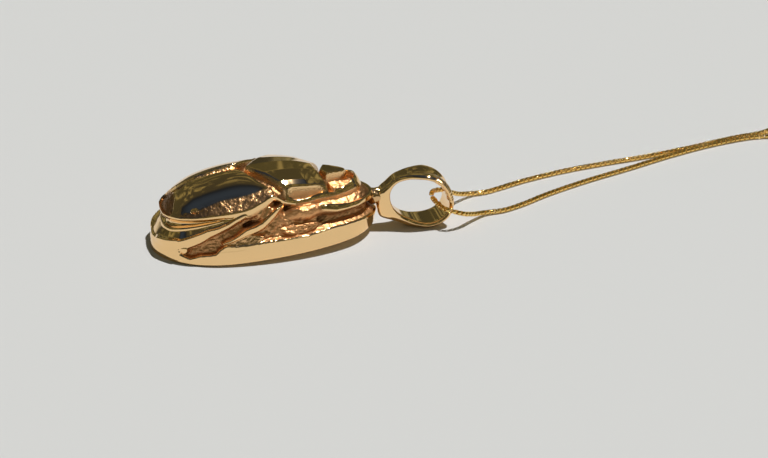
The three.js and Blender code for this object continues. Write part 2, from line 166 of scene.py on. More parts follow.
BAND_TOP = [
    (0, 0.19), (0.03, 0.235), (0.07, 0.26), (0.09, 0.275), (0.098, 0.25), (0.104, 0.11), (0.14, 0.074),
    (0.182, 0.119), (0.247, 0.142), (0.262, 0.19), (0.285, 0.235), (0.30, 0.25), (0.35, 0.23),
    (0.48, 0.237), (0.567, 0.228), (0.656, 0.215), (0.749, 0.234), (0.794, 0.225), (0.844, 0.213),
    (0.893, 0.197), (0.93, 0.185), (1, 0.16)]
HIND_TOP = [
    (0, 0.19), (0.033, 0.235), (0.07, 0.26), (0.109, 0.298), (0.15, 0.347), (0.192, 0.408),
    (0.234, 0.457), (0.276, 0.483), (0.311, 0.525), (0.343, 0.577), (0.365, 0.597), (0.40, 0.64)]
COVE_LINE = [
    (0, 0.395), (0.04, 0.407), (0.07, 0.413), (0.156, 0.485), (0.239, 0.547), (0.323, 0.60),
    (0.40, 0.64)]
RIM_TOP = [
    (0.70, 0.62), (0.745, 0.582), (0.80, 0.523), (0.855, 0.463), (0.915, 0.442), (0.973, 0.424),
    (1, 0.41)]

# The wing case's fall from its crest (0) to its edge (1), and the collar's.
WING_PROFILE = [
    (0, 1), (0.15, 0.985), (0.30, 0.915), (0.45, 0.80), (0.60, 0.65), (0.72, 0.49), (0.84, 0.285),
    (0.93, 0.12), (1, 0)]
COLLAR_FALL = [(0, 0), (0.40, 0.028), (0.78, 0.088), (0.90, 0.133)]
WALL_START, WALL_POWER = 0.90, 0.9            # the collar's wall, from there down to the shoulder

# Legs: along, height and half width of the crest, then how steep their sides and their tops are.
HIND_LEG = [
    (0.05, 0.16, 0.10), (0.10, 0.20, 0.095), (0.121, 0.252, 0.052), (0.187, 0.347, 0.047),
    (0.23, 0.415, 0.036), (0.274, 0.457, 0.023), (0.312, 0.502, 0.020), (0.346, 0.553, 0.020),
    (0.385, 0.60, 0.018)]
MIDDLE_LEG = [
    (0.555, 0.66, 0.018), (0.52, 0.59, 0.024), (0.49, 0.52, 0.028), (0.46, 0.455, 0.030),
    (0.43, 0.42, 0.032), (0.39, 0.392, 0.032), (0.35, 0.34, 0.018), (0.315, 0.302, 0.008),
    (0.285, 0.28, 0.004)]
FORE_LEG = [
    (0.72, 0.57, 0.012), (0.745, 0.53, 0.036), (0.80, 0.475, 0.040), (0.855, 0.442, 0.028),
    (0.91, 0.42, 0.025), (0.965, 0.40, 0.024), (1, 0.385, 0.020)]
HIND_STEEP, HIND_UPRIGHT = 3, 0.38
MIDDLE_STEEP, MIDDLE_UPRIGHT = 2.5, 0.40
FORE_STEEP, FORE_UPRIGHT = 2.2, 0.25
BAND_STEEP = 3
LIP_STEEP, LIP_UNDERCUT = 3, 0.42

# Round features: along, height, half length, half height, and by how many millimetres each one of
# the first sinks and of the second rises. On the back, the second place is the share from the crest.
HOLLOWS = [
    (0.418, 0.485, 0.042, 0.050, 0.55), (0.565, 0.690, 0.040, 0.085, 0.80),
    (0.738, 0.390, 0.030, 0.070, 0.45), (0.955, 0.500, 0.030, 0.080, 0.35)]
SWELLS = [
    (0.485, 0.600, 0.042, 0.095, 0.45), (0.375, 0.285, 0.095, 0.080, 0.55),
    (0.63, 0.320, 0.085, 0.07, 0.35)]
HAUNCH = (0.660, 0.550, 0.090, 0.120)
HAUNCH_HEIGHT, HAUNCH_LUMPS = 0.22, 0.08
SPARKLING = (0.60, 0.33, 0.13, 0.12)          # where the cast grain is at its roughest
SPARKLE_GAIN = 1.4
RIPPLE_HEIGHT, RIPPLE_RATE = 0.09, 9          # on the first swell
RIPPLE_WAY = (0.8, 0.45)

# The cove over the hind leg and the recess over the fore leg: depths in millimetres.
COVE_FRONT = 0.40
COVE_START, COVE_LOWER, COVE_UPPER, COVE_UNDER_LIP = 0.22, 0.33, 0.20, 0.10
COVE_RIDGE = 0.13
COVE_AT_TAIL = 0.75
RECESS_FRONT = (0.70, 0.76)
LEDGE_DEPTH, LEDGE_FALL, LEDGE_HIGH = 0.35, 0.85, 0.08
ABOVE_RIM_DEPTH = 0.80

# Forms of the back: places as shares of the length and half width, depths as shares of the height.
WING_FRONT, WING_SWEEP, WING_SWEEP_END, WING_SWEEP_POWER = 0.40, 0.145, 0.62, 1.1
COLLAR_FRONT, COLLAR_SWEEP, COLLAR_SWEEP_END = 0.722, 0.072, 0.5
SEAM_AHEAD = 0.012                            # how far a seam's middle is in front of what it follows
GROOVE_HALF = (0.032, 0.014)
NECK_HALF = (0.026, 0.014)
GROOVE_DEPTH, NECK_DEPTH = 0.11, 0.10
SPLIT_DEPTH, SPLIT_BEVEL = 0.055, 0.012
HEAD_FULL, HEAD_FALL = 6.0, 0.9
BOWL = (0.826, 0.70, 0.086, 0.26)
BOWL_DEPTH = 0.14
OVAL = (0.675, 0.950, 0.092, 0.036)
OVAL_DEPTH = 0.05
DENT = (0.187, 0.87, 0.017, 0.036)
DENT_DEPTH = 0.075
WORN_AT_TAIL, WORN_IN_FRONT = 0.90, 0.76      # where the wing's worn edge starts, from the crest

# Waves of the cast grain: how high in millimetres, and how many to a millimetre.
GRAIN_WAVES = [(0.10, 1.5), (0.08, 3.2), (0.06, 6.5)]

# The bail's inner outline about a centre: turn and reach. Then its wall, and its cross-section,
# as shares of the half width and the wall, and of the valley's depth.
BAIL_CENTRE = (4.9, 3.75)
BAIL_REACH = [
    (0, 3.53), (0.056, 3.38), (0.129, 3.22), (0.197, 3.09), (0.271, 3.08), (0.338, 3.42),
    (0.391, 3.85), (0.44, 3.96), (0.481, 3.80), (0.53, 3.50), (0.59, 3.08), (0.663, 2.70),
    (0.744, 2.74), (0.809, 3.05), (0.873, 3.43), (0.926, 3.68), (0.97, 3.63), (1, 3.53)]
BAIL_WALL = [
    (0, 1), (0.10, 0.96), (0.27, 0.84), (0.38, 0.82), (0.42, 1.0), (0.445, 1.6), (0.46, 2.1),
    (0.487, 2.3), (0.513, 2.5), (0.539, 2.7), (0.56, 2.25), (0.583, 1.8), (0.62, 1.45), (0.68, 1.38),
    (0.73, 1.15), (0.80, 1.0), (1, 1)]
BAIL_SECTION = [
    (-1, 0.45, 0), (-0.82, 0.88, 0), (-0.55, 1, 0), (-0.28, 1, 0.6), (0, 1, 1), (0.28, 1, 0.6),
    (0.55, 1, 0), (0.82, 0.88, 0), (1, 0.45, 0), (0.92, 0, 0), (0.3, 0, 0), (-0.3, 0, 0),
    (-0.92, 0, 0)]

# Colours, linear, and roughness of the gold.
POLISHED_GOLD, POLISHED_ROUGH = (1.0, 0.67, 0.325), 0.07
MATTE_GOLD, MATTE_ROUGH = (0.80, 0.42, 0.18), 0.42
LINK_GOLD, LINK_ROUGH = (1.0, 0.66, 0.20), 0.11
LINK_MATTE, LINK_MATTE_ROUGH = (0.62, 0.33, 0.14), 0.5
# Brown mixed in by the brown attribute: painted shade in the hollows, grooves and seams, and the brown of
# the worn patch and the solder.
SHADE_AND_WEAR_BROWN = (0.30, 0.155, 0.065)
GRAIN_SCALE = 4000                            # bumps of the matte gold to a metre

# What the gold mirrors: a dim green room, brighter leaves in it, and the pale table's horizon.
ROOM_STOPS = [
    (0.0, (0.045, 0.046, 0.036)), (0.30, (0.050, 0.051, 0.032)), (0.60, (0.075, 0.077, 0.044)),
    (0.95, (0.050, 0.052, 0.042)), (0.972, (0.012, 0.018, 0.036)), (1.0, (0.026, 0.046, 0.110))]
LEAF_LIGHT = (0.32, 0.31, 0.17)
HORIZON_LIGHT = (0.47, 0.47, 0.44)
BACKDROP = (0.66, 0.66, 0.65)
TABLE_PAPER, TABLE_ROUGH = (0.68, 0.68, 0.67), 0.9
TABLE_REACH = 4.0                             # metres
SUN_STRENGTH = 3.0
SUN_WIDTH = math.radians(1.5)
SUN_TURN = (math.radians(-4), math.radians(20), 0)

# The photograph's frame and viewpoint.
PHOTO_WIDTH = 768
PHOTO_HEIGHT = 458
AZIMUTH = math.radians(-12)
ELEVATION = math.radians(24)
VIEW_DISTANCE = 340.0             # millimetres
FOCAL_PIXELS = 2720.0
AIM_ALONG = 14.3                  # a point on the table, millimetres from the tail
AIM_PIXEL = (264, 236)            # where that point lies in the photograph
SENSOR_WIDTH = 36.0

AROUND = 640
FLANK_ROWS = 74
BACK_ROWS = 70
BAIL_STEPS = 480
BAIL_RING = 64
LINK_CORNERS = 12


def ramp(low, high, value):
    share = np.clip((value - low) / (high - low), 0.0, 1.0)
    return share * share * (3 - 2 * share)


def mix(a, b, share):
    return a + (b - a) * share


def follow(pairs, place):
    """A smooth curve through a short list of (place, value) pairs."""
    xs = np.array([p[0] for p in pairs], float)
    ys = np.array([p[1] for p in pairs], float)
    low = np.maximum(np.arange(len(xs)) - 1, 0)
    high = np.minimum(np.arange(len(xs)) + 1, len(xs) - 1)
    slopes = (ys[high] - ys[low]) / (xs[high] - xs[low])
    at = np.clip(np.asarray(place, float), xs[0], xs[-1])
    i = np.clip(np.searchsorted(xs, at, side="left") - 1, 0, len(xs) - 2)
    span = xs[i + 1] - xs[i]
    t = (at - xs[i]) / span
    pull = span * (slopes[i] * t * (1 - t) ** 2 - slopes[i + 1] * t * t * (1 - t))
    return mix(ys[i], ys[i + 1], t * t * (3 - 2 * t)) + pull


def trace(pairs, place):
    """Straight lines through a short list of (place, value) pairs."""
    return np.interp(place, [p[0] for p in pairs], [p[1] for p in pairs])


def rib_fall(rib, x, rise, steep, upright):
    """How far a place on the flank lies below a raised rib's crest."""
    nearest = np.full(np.broadcast(x, rise).shape, np.inf)
    above = np.zeros(nearest.shape)
    for (ax, az, aw), (bx, bz, bw) in zip(rib, rib[1:]):
        dx, dz = (bx - ax) * BODY_LENGTH, (bz - az) * BODY_HEIGHT
        px, pz = x - ax * BODY_LENGTH, rise - az * BODY_HEIGHT
        t = np.clip((px * dx + pz * dz) / (dx * dx + dz * dz), 0, 1)
        width = mix(aw, bw, t) * BODY_HEIGHT
        away = np.hypot(px - t * dx, pz - t * dz) - width
        above = np.where(away < nearest, np.clip(pz - t * dz, -width, width), above)
        nearest = np.minimum(nearest, away)
    return upright * above - np.maximum(0, nearest) * steep


def round_spot(along, level, spot):
    """0 in the middle of a round feature and 1 at its edge."""
    return ((along - spot[0]) / spot[2]) ** 2 + ((level - spot[1]) / spot[3]) ** 2


def cove_depth(along, level, hind_top, lip_base):
    """The scalloped cove between the hind leg and the wing's lip."""
    cove_line = trace(COVE_LINE, along)
    low_scallop = np.clip((level - hind_top) / np.maximum(cove_line - hind_top, 0.01), 0, 1)
    high_scallop = np.clip((level - cove_line) / np.maximum(lip_base - cove_line, 0.01), 0, 1)
    cove = (-COVE_START - COVE_LOWER * low_scallop ** 0.8
            - COVE_UPPER * np.sin(math.pi * high_scallop) - COVE_UNDER_LIP * high_scallop)
    cove = cove + COVE_RIDGE * ramp(0.035, 0.01, np.abs(level - cove_line))
    return cove - COVE_AT_TAIL * ramp(0.16, 0.02, along) * np.clip((level - hind_top) / 0.3, 0, 1)


def flank_carving(x, rise, below_edge):
    """Depth of the flank's carving, how matte it is, and its brown, which is painted shade; rise is measured
    up the surface.
    """
    along = x / BODY_LENGTH
    level = rise / BODY_HEIGHT
    foot = trace(BAND_TOP, along)
    hind_top = trace(HIND_TOP, along)
    lip = trace(LIP_HIGH, along) * BODY_HEIGHT
    rim_top = trace(RIM_TOP, along)
    in_cove = (along < COVE_FRONT) & (level > hind_top)

    recess = np.full(np.shape(rise), -RECESS_DEPTH)
    # brown is painted shade: the hollows are darkened, and so are the recess under the fore leg's rim and
    # the flank towards the tail.
    brown = np.zeros(np.shape(rise))
    for spot in HOLLOWS:
        recess = recess - spot[4] * ramp(1.1, 0.5, round_spot(along, level, spot))
        brown = np.maximum(brown, ramp(1.5, 0.5, round_spot(along, level, spot)))
    for spot in SWELLS:
        recess = recess + spot[4] * ramp(1.15, 0.7, round_spot(along, level, spot))
    ribbed = ramp(1.1, 0.8, round_spot(along, level, SWELLS[0]))
    wave = np.sin((along * BODY_LENGTH * RIPPLE_WAY[0] - rise * RIPPLE_WAY[1]) * RIPPLE_RATE)
    recess = recess + RIPPLE_HEIGHT * ribbed * wave
    front = ramp(*RECESS_FRONT, along)
    slope = -LEDGE_DEPTH - LEDGE_FALL * ramp(foot, foot + LEDGE_HIGH, level)
    recess = mix(recess, np.where(level < rim_top, slope, -ABOVE_RIM_DEPTH), front)
    lip_base = (rise + below_edge - lip) / BODY_HEIGHT
    recess = np.where(in_cove, cove_depth(along, level, hind_top, lip_base), recess)

    haunch = round_spot(along, level, HAUNCH)
    lumps = HAUNCH_HEIGHT + HAUNCH_LUMPS * np.sin(along * 75 + level * 20)
    middle = rib_fall(MIDDLE_LEG, x, rise, MIDDLE_STEEP, MIDDLE_UPRIGHT)
    fore = rib_fall(FORE_LEG, x, rise, FORE_STEEP, FORE_UPRIGHT)
    thigh = lumps - haunch ** 1.2
    ribs = [
        -np.maximum(0, rise - foot * BODY_HEIGHT) * BAND_STEEP,
        -np.maximum(0, below_edge - lip) * LIP_STEEP - LIP_UNDERCUT * np.minimum(below_edge, lip),
        rib_fall(HIND_LEG, x, rise, HIND_STEEP, HIND_UPRIGHT),
        middle,
        fore,
        thigh,
    ]
    cut = np.maximum(recess, np.maximum.reduce(ribs))
    matte = ramp(0.18, 0.40, -cut) * ~in_cove
    on_thigh = ramp(1.2, 0.95, haunch) * ramp(-0.25, -0.1, thigh - np.maximum(middle, fore))
    matte = np.maximum(matte, on_thigh)
    # Painted shade in the recess under the fore leg's rim, and more of it towards the tail.
    brown = np.maximum(brown, 0.5 * front * (level < rim_top))
    brown = np.maximum(brown, 0.35 * ramp(0.45, 0.30, along))
    return cut, matte, brown * matte


def back_height(x, y, share):
    """The back's height, how matte it is, and its brown: painted shade in the seams and hollows, and the
    worn patch's brown; share is 0 at the crest, 1 at the shoulder.
    """
    along = x / BODY_LENGTH
    side = np.abs(y) / (BODY_WIDTH / 2)
    edge = follow(SHOULDER_LEVEL, along)

    wing_edge = WING_FRONT + WING_SWEEP * np.minimum(1, side / WING_SWEEP_END) ** WING_SWEEP_POWER
    wing = edge + np.maximum(0, follow(WING_CREST, along) - edge) * follow(WING_PROFILE, share)
    dent = ramp(1.1, 0.3, round_spot(along, share, DENT))
    worn_from = mix(WORN_AT_TAIL, WORN_IN_FRONT, ramp(0.12, 0.32, along))
    worn = ramp(worn_from - 0.02, worn_from + 0.04, share) * ramp(1.0, 0.97, share) * ramp(0.10, 0.15, along)
    split = trace(SPLIT, along)
    in_slit = ramp(split + SPLIT_BEVEL, split, side) * ramp(0.45, 0.40, along)

    plate = follow(COLLAR_CREST, along) - trace(COLLAR_FALL, share)
    wall = np.clip((share - WALL_START) / (1 - WALL_START), 0, 1) ** WALL_POWER
    collar = mix(plate, edge, wall)
    oval_sunk = ramp(1.0, 0.80, round_spot(along, share, OVAL))
    collar_end = COLLAR_FRONT + COLLAR_SWEEP * np.minimum(1, side / COLLAR_SWEEP_END)

    over_edge = np.maximum(0, follow(HEAD_CREST, along) - edge)
    head = edge + over_edge * np.maximum(0, 1 - share ** HEAD_FULL) ** HEAD_FALL
    bowl = ramp(1.12, 0.60, round_spot(along, share, BOWL))

    neck = ramp(*NECK_HALF, np.abs(along - collar_end - SEAM_AHEAD))
    groove = ramp(*GROOVE_HALF, np.abs(along - wing_edge - SEAM_AHEAD)) * ramp(1, 0.95, share)
    on_wing = ramp(0.005, -0.005, along - wing_edge)
    behind_head = ramp(0.003, -0.003, along - collar_end)
    ahead = 1 - behind_head
    front = mix(head - BOWL_DEPTH * bowl - NECK_DEPTH * neck, collar - OVAL_DEPTH * oval_sunk, behind_head)
    level = mix(front, wing - SPLIT_DEPTH * in_slit - DENT_DEPTH * dent, on_wing) - GROOVE_DEPTH * groove

    tail_notch = in_slit * ramp(0.125, 0.11, along)
    dull = [
        tail_notch,
        in_slit * on_wing * ramp(0.16, 0.24, along),
        groove,
        np.maximum(bowl, neck) * ahead,
        oval_sunk * behind_head * (1 - on_wing),
        0.7 * worn * on_wing,
        0.9 * dent,
    ]
    # Painted shade in the tail notch, the dent, the groove and the neck seam, and the brown of the worn
    # patch.
    shade_and_wear = [
        tail_notch,
        0.6 * worn * on_wing,
        dent,
        groove * mix(0.5, 1, ramp(0.80, 0.95, share)),
        0.7 * neck * ahead,
    ]
    return level * BODY_HEIGHT, np.maximum.reduce(dull), np.maximum.reduce(shade_and_wear)


def grains(points, matte):
    """The rough cast grain of the matte floors, in millimetres."""
    out = np.zeros(len(points))
    for i in np.nonzero(matte > 0.05)[0]:
        place = Vector(points[i])
        out[i] = sum(high * noise.noise(place * rate) for high, rate in GRAIN_WAVES)
    return out * matte


def mesh_object(name, positions, faces, attributes=None):
    mesh = bpy.data.meshes.new(name)
    mesh.from_pydata([tuple(p) for p in positions], [], faces)
    mesh.update()
    for key, values in (attributes or {}).items():
        layer = mesh.attributes.new(key, "FLOAT", "POINT")
        layer.data.foreach_set("value", np.asarray(values, np.float32))
    mesh.polygons.foreach_set("use_smooth", [True] * len(mesh.polygons))
    item = bpy.data.objects.new(name, mesh)
    bpy.context.collection.objects.link(item)
    return item


def merge_close(item, distance):
    shape = bmesh.new()
    shape.from_mesh(item.data)
    bmesh.ops.remove_doubles(shape, verts=shape.verts, dist=distance)
    bmesh.ops.dissolve_degenerate(shape, edges=shape.edges, dist=distance / 10)
    bmesh.ops.recalc_face_normals(shape, faces=shape.faces)
    shape.to_mesh(item.data)
    shape.free()
    item.data.update()


def scarab():
    """The casting's whole surface, from the base plate's edge over the flank to the crest line."""
    turn = np.linspace(0, 2 * math.pi, AROUND, endpoint=False)[:, None]
    c = np.cos(turn)
    front = c > 0
    reach_x = BODY_LENGTH * np.where(front, 1 - WIDEST_ALONG, WIDEST_ALONG)
    square = np.where(front, 1.0, TAIL_SQUARE)
    edge_x = BODY_LENGTH * WIDEST_ALONG + reach_x * np.sign(c) * np.abs(c) ** square
    edge_y = BODY_WIDTH / 2 * np.sin(turn)
    crest_x = BODY_LENGTH * WIDEST_ALONG + SPINE_SHARE * (edge_x - BODY_LENGTH * WIDEST_ALONG)
    reach = np.hypot(edge_x - crest_x, edge_y)
    out_x, out_y = (edge_x - crest_x) / reach, edge_y / reach
    shoulder = trace(SHOULDER_SHARE, edge_x / BODY_LENGTH)
    shoulder_x = crest_x + (edge_x - crest_x) * shoulder
    shoulder_z = follow(SHOULDER_LEVEL, shoulder_x / BODY_LENGTH) * BODY_HEIGHT
    lean_power = mix(TAIL_LEAN, HEAD_LEAN, ramp(*LEAN_CHANGES, edge_x / BODY_LENGTH))

    def curve(v):
        lean = np.maximum(0, (v - LEAN_FROM) / (1 - LEAN_FROM)) ** lean_power
        z = v * shoulder_z
        return mix(1, shoulder, lean) - DRAFT * np.minimum(z, DRAFT_HEIGHT) / reach * (1 - lean), z

    v = np.linspace(0, 1, FLANK_ROWS + 1)[None, :]
    share, z = curve(v)
    inset = (1 - share) * reach
    steps = np.hypot(np.diff(inset, axis=1), np.diff(z, axis=1))
    rise = np.concatenate([np.zeros((AROUND, 1)), np.cumsum(steps, axis=1)], axis=1)
    nearby = 0.02
    share_low, z_low = curve(np.maximum(0, v - nearby))
    share_high, z_high = curve(np.minimum(1, v + nearby))
    run, climb = (share_low - share_high) * reach, z_high - z_low
    length = np.hypot(run, climb)
    flank_x = crest_x + (edge_x - crest_x) * share
    cut, flank_matte, flank_painted_shade = flank_carving(flank_x, rise, rise[:, -1:] - rise)
    nominal = np.stack([flank_x, edge_y * share, z], axis=-1)
    sparkling = round_spot(flank_x / BODY_LENGTH, rise / BODY_HEIGHT, SPARKLING)
    grain = flank_matte * (1 + SPARKLE_GAIN * ramp(1.5, 0.6, sparkling))
    cut = cut + grains(nominal.reshape(-1, 3), grain.reshape(-1)).reshape(cut.shape)
    cut = cut - EDGE_ROUNDING * np.clip(1 - rise / EDGE_ROUNDING, 0, 1) ** 2
    at_tip = ramp(TIP_FROM, 1.0, edge_x / BODY_LENGTH)
    cut = cut - TIP_TUCK * at_tip * np.clip(1 - rise / TIP_TUCK_HEIGHT, 0, 1)
    r = share * reach + cut * climb / length
    flank = np.stack([crest_x + out_x * r, out_y * r, z + cut * run / length], axis=-1)

    inward = np.linspace(0, 1, BACK_ROWS + 1)[None, 1:]
    share = shoulder * (1 - inward)
    x = crest_x + (edge_x - crest_x) * share
    y = edge_y * share
    height, back_matte, back_shade_and_wear = back_height(x, y, 1 - inward)
    nominal = np.stack([x, y, height], axis=-1)
    height = height + grains(nominal.reshape(-1, 3), back_matte.reshape(-1)).reshape(height.shape)
    back = np.stack([x, y, height], axis=-1)

    points = np.concatenate([flank, back], axis=1)
    matte = np.concatenate([flank_matte, back_matte], axis=1)
    # brown holds painted shade in the hollows and seams, and the worn patch's brown.
    brown = np.concatenate([flank_painted_shade, back_shade_and_wear], axis=1)
    rows = points.shape[1]
    points = points.reshape(-1, 3)
    tilt = math.atan(HEAD_LIFT / BODY_LENGTH)
    up = points[:, 0] * math.sin(tilt) + points[:, 2] * math.cos(tilt) - REST_FLAT
    ahead = points[:, 0] * math.cos(tilt) - points[:, 2] * math.sin(tilt)
    placed = np.stack([ahead + PENDANT_X, points[:, 1], np.maximum(0, up)], axis=-1) * MM
    faces = []
    for i in range(AROUND):
        a, b = i * rows, (i + 1) % AROUND * rows
        faces += [(a + j, b + j, b + j + 1, a + j + 1) for j in range(rows - 1)]
    faces.append(tuple(i * rows for i in reversed(range(AROUND))))
    item = mesh_object("scarab", placed, faces, {"matte": matte.reshape(-1), "brown": brown.reshape(-1)})
    merge_close(item, 2e-6)
    return item


def bail_outline(turn):
    """A place on the bail's inner outline, along and up."""
    reach = float(follow(BAIL_REACH, turn))
    angle = turn * 2 * math.pi
    return BAIL_CENTRE[0] + reach * math.cos(angle), BAIL_CENTRE[1] + reach * math.sin(angle)


def stroke_cut(turn, across):
    """How deep the stamped strokes cut into the bail's near edge."""
    if not (STROKES_FROM < turn < STROKES_TO and STROKES_ACROSS[0] < across < STROKES_ACROSS[1]):
        return 0.0
    wave = math.sin((turn + STROKE_SLANT * across) * STROKES_PER_TURN * 2 * math.pi
                    + STROKE_UNEVEN * math.sin(turn * STROKE_UNEVEN_RATE))
    return STROKE_DEPTH * float(ramp(0.1, 0.7, wave))


def bail():
    """The flared loop that the chain runs through."""
    closed = np.array(BAIL_SECTION + BAIL_SECTION[:1], float)
    places = np.arange(len(closed))
    at = np.linspace(0, len(BAIL_SECTION), BAIL_RING, endpoint=False)
    smooth = np.stack([np.interp(at, places, closed[:, k]) for k in range(3)], axis=-1)
    smooth = (np.roll(smooth, 1, 0) + 2 * smooth + np.roll(smooth, -1, 0)) / 4
    points = []
    for i in range(BAIL_STEPS):
        turn = i / BAIL_STEPS
        inner_x, inner_z = bail_outline(turn)
        before = bail_outline((turn + 1 - BAIL_SLOPE_STEP) % 1)
        after = bail_outline((turn + BAIL_SLOPE_STEP) % 1)
        out = np.array([after[1] - before[1], before[0] - after[0]])
        out /= np.linalg.norm(out)
        thick = float(follow(BAIL_WALL, turn)) * BAIL_THICKNESS
        to_flare = float(ramp(-1, FLARE_FULL, math.cos(turn * 2 * math.pi)))
        half = mix(BAIL_NECK_WIDTH, BAIL_WIDTH, to_flare) / 2
        valley = BAIL_VALLEY * float(ramp(*VALLEY_GROWS, to_flare))
        for across, raised, sunk in smooth:
            r = thick * raised - valley * sunk - stroke_cut(turn, across)
            points.append((inner_x + out[0] * r, across * half, inner_z + out[1] * r))
    points = np.array(points)
    points[:, 0] += PENDANT_X + BODY_LENGTH + BAIL_GAP
    points[:, 2] -= points[:, 2].min()
    faces = []
    for i in range(BAIL_STEPS):
        a, b = i * BAIL_RING, (i + 1) % BAIL_STEPS * BAIL_RING
        for k in range(BAIL_RING):
            m = (k + 1) % BAIL_RING
            faces.append((a + k, a + m, b + m, b + k))
    plain = np.zeros(len(points))
    item = mesh_object("bail_loop", points * MM, faces, {"matte": plain, "brown": plain})
    merge_close(item, 1e-7)
    return item


def tube(points, radius, sides=14):
    """Rings of points and faces for a round rod along a path, closed at both ends."""
    path = np.array(points, float)
    along = np.gradient(path, axis=0)
    along /= np.linalg.norm(along, axis=1)[:, None]
    lift = np.array([0.0, 0.0, 1.0])
    out = []
    for centre, forward in zip(path, along):
        side = np.cross(lift, forward)
        if np.linalg.norm(side) < 0.1:
            side = np.cross([1.0, 0.0, 0.0], forward)
        side /= np.linalg.norm(side)
        over = np.cross(forward, side)
        for k in range(sides):
            angle = 2 * math.pi * k / sides
            out.append(centre + radius * (side * math.cos(angle) + over * math.sin(angle)))
    faces = [tuple(reversed(range(sides))), tuple(range(len(out) - sides, len(out)))]
    for i in range(len(path) - 1):
        for k in range(sides):
            a, b = i * sides, (i + 1) * sides
            m = (k + 1) % sides
            faces.append((a + k, a + m, b + m, b + k))
    return out, faces


def arc(centre, radius, low, high, tilt=0.0, heading=0.0, steps=48):
    """Points on an arc in degrees, tipped up by tilt about the heading direction."""
    turn = np.radians(np.linspace(low, high, steps))
    flat = np.stack([np.cos(turn) * radius, np.sin(turn) * radius, np.zeros(steps)], axis=-1)
    toward, across = math.radians(heading), math.radians(heading + 90)
    x_axis = np.array([math.cos(toward), math.sin(toward), 0])
    y_axis = np.array([math.cos(across) * math.cos(tilt), math.sin(across) * math.cos(tilt),
                       math.sin(tilt)])
    return np.array(centre) + flat[:, :1] * x_axis + flat[:, 1:2] * y_axis


def clasp():
    """A spring ring: its hollow ring, bolt and knob, and the rings that hold the chain's two ends."""
    middle = (CLASP_DIAMETER - CLASP_WIRE) / 2
    centre = np.array([CLASP_CENTRE[0], CLASP_CENTRE[1], CLASP_WIRE / 2])
    turn = math.radians(KNOB_AT)
    knob = centre + [middle * math.cos(turn), middle * math.sin(turn), 0]
    outward = (knob - centre) / middle
    rods = [(arc(centre, middle, *CLASP_BODY), CLASP_WIRE / 2),
            (arc(centre, middle, *CLASP_BOLT), CLASP_WIRE * BOLT_THINNER),
            ([knob + outward * KNOB_FROM, knob + outward * KNOB_TO], KNOB_RADIUS)]
    for end in (NEAR_END, FAR_ROUTE[-1][:2]):
        toward = np.array([end[0] - CLASP_CENTRE[0], end[1] - CLASP_CENTRE[1], 0.0])
        toward /= np.linalg.norm(toward)
        heading = math.degrees(math.atan2(toward[1], toward[0]))
        ring = arc(centre + toward * (middle + END_RING_OUT), END_RING_RADIUS, 0, 360,
                   END_RING_TILT, heading)
        rods.append((ring, END_RING_WIRE))
    points, faces = [], []
    for path, radius in rods:
        more, sides = tube(path, radius)
        faces += [tuple(index + len(points) for index in face) for face in sides]
        points += more
    points = np.array(points)
    points[:, 0] += PENDANT_X
    points[:, 2] = np.maximum(points[:, 2], LOWEST_CLASP)
    return mesh_object("clasp", points * MM, faces)


def solder():
    """The small uneven saddle of solder that joins the bail's neck to the head."""
    rings, sides = 26, 32
    joint_x = PENDANT_X + BODY_LENGTH + BAIL_GAP / 2
    centre = np.array([joint_x - SOLDER_BACK, 0.0, SOLDER_HEIGHT])
    points = []
    for i in range(1, rings):
        polar = math.pi * i / rings
        for k in range(sides):
            angle = 2 * math.pi * k / sides
            way = Vector((math.cos(polar), math.sin(polar) * math.cos(angle),
                          math.sin(polar) * math.sin(angle)))
            waist = 1 - SOLDER_WAIST * math.exp(-(way.x / SOLDER_WAIST_LONG) ** 2)
            lumps = noise.noise(way * SOLDER_LUMP_RATE + Vector((3, 1, 2)))
            points.append(centre + np.array(way) * SOLDER_SIZE * waist * (1 + SOLDER_LUMPS * lumps))
    faces = [tuple(range(sides)), tuple(reversed(range(len(points) - sides, len(points))))]
    for i in range(rings - 2):
        a, b = i * sides, (i + 1) * sides
        faces += [(a + k, b + k, b + (k + 1) % sides, a + (k + 1) % sides) for k in range(sides)]
    dull = np.full(len(points), SOLDER_DULL)
    return mesh_object("solder_joint", np.array(points) * MM, faces, {"matte": dull, "brown": dull})


def round_coil(r, angle, z):
    return COIL_CENTRE[0] + r * math.cos(angle), COIL_CENTRE[1] + r * math.sin(angle), z


def coil_route():
    """The wound-up rest of the chain: layers of turns, then down the outside to the clasp."""
    outer = COIL_TURN_DIAMETER / 2 + TURN_SPACING * (TURNS_IN_LAYER - 1) / 2
    inner = outer - TURN_SPACING * (TURNS_IN_LAYER - 1)
    points = []
    for layer in range(COIL_LAYERS):
        for k in range(TURNS_IN_LAYER * STEPS_IN_TURN):
            turns = k / STEPS_IN_TURN
            inward = outer - TURN_SPACING * turns
            outward = outer - TURN_SPACING * (TURNS_IN_LAYER - turns)
            r = max(inner, inward if layer % 2 == 0 else outward)
            climb = 0.0
            if layer < COIL_LAYERS - 1:
                climb = max(0.0, turns - TURNS_IN_LAYER + CLIMB_TURNS) / CLIMB_TURNS
            angle = 2 * math.pi * turns - math.pi / 2
            points.append(round_coil(r, angle, ON_TABLE + TURN_SPACING * (layer + climb)))
    top = ON_TABLE + TURN_SPACING * (COIL_LAYERS - 1)
    for k in range(DESCENT_STEPS + 1):
        share = k / DESCENT_STEPS
        angle = math.radians(mix(DESCENT_FROM, DESCENT_TO, share))
        z = mix(top, ON_TABLE, float(ramp(0.1, 0.95, share)))
        points.append(round_coil(outer + DESCENT_CLEARANCE * share ** 0.7, angle, z))
    return points


